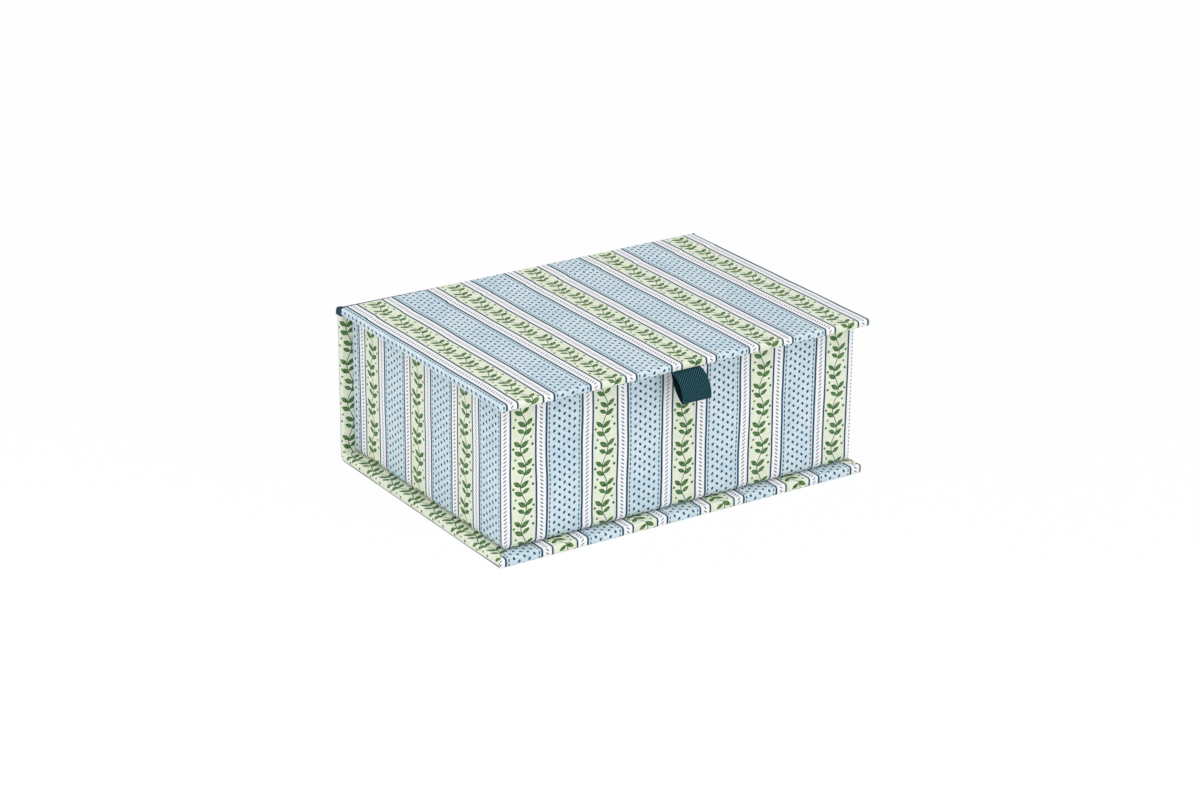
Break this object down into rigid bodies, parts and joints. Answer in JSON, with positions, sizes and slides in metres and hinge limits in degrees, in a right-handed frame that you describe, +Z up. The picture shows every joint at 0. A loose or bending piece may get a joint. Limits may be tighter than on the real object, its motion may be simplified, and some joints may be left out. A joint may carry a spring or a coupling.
{
  "type": "keepsake box",
  "caption": "Book-style keepsake box: a paper-covered tray in a case whose flat overhanging lid opens on a cloth hinge, with a folded ribbon pull.",
  "frame": {"origin": "middle of the underside of the base, on the surface that the box stands on", "axes": "+Z up, -Y towards the front with the ribbon pull, +X to the right seen from the front"},
  "size_m": [0.23, 0.1775, 0.0901],
  "materials": {
    "greyboard": "raw grey board, matt",
    "striped_paper": "uncoated paper printed in pale blue, pale green and white stripes, matt",
    "lining_paper": "plain laid paper, matt",
    "book_cloth": "dark teal book cloth, matt",
    "ribbon": "dark teal twill ribbon with a slight sheen"
  },
  "bodies": {
    "case": {"base_board": "greyboard", "spine_board": "greyboard", "tray_floor_board": "greyboard", "tray_front_board": "greyboard", "tray_back_board": "greyboard", "tray_left_board": "greyboard", "tray_right_board": "greyboard", "base_cover_paper": "striped_paper", "spine_cover_paper": "striped_paper", "tray_wrap_paper": "striped_paper", "tray_front_lining": "lining_paper", "tray_back_lining": "lining_paper", "tray_left_lining": "lining_paper", "tray_right_lining": "lining_paper", "tray_floor_lining": "lining_paper", "hinge_cloth": "book_cloth", "hinge_lining_cloth": "book_cloth"},
    "lid": {"lid_board": "greyboard", "lid_cover_paper": "striped_paper", "lid_lining_paper": "lining_paper", "ribbon_anchor": "ribbon"},
    "pull": {"ribbon_pull": "ribbon"}
  },
  "joints": [
    {"name": "lid_hinge", "type": "hinge", "parent": "case", "child": "lid", "pos_m": [0, 0.0819, 0.089], "axis": [-1, 0, 0], "range_deg": [0, 210], "deforming": ["hinge_cloth", "hinge_lining_cloth"]},
    {"name": "pull_swing", "type": "hinge", "parent": "lid", "child": "pull", "pos_m": [-0.0033, -0.08395, 0.0851], "axis": [-1, 0, 0], "range_deg": [-40, 40], "stiffness_Nm_per_rad": 0.0004}
  ]
}
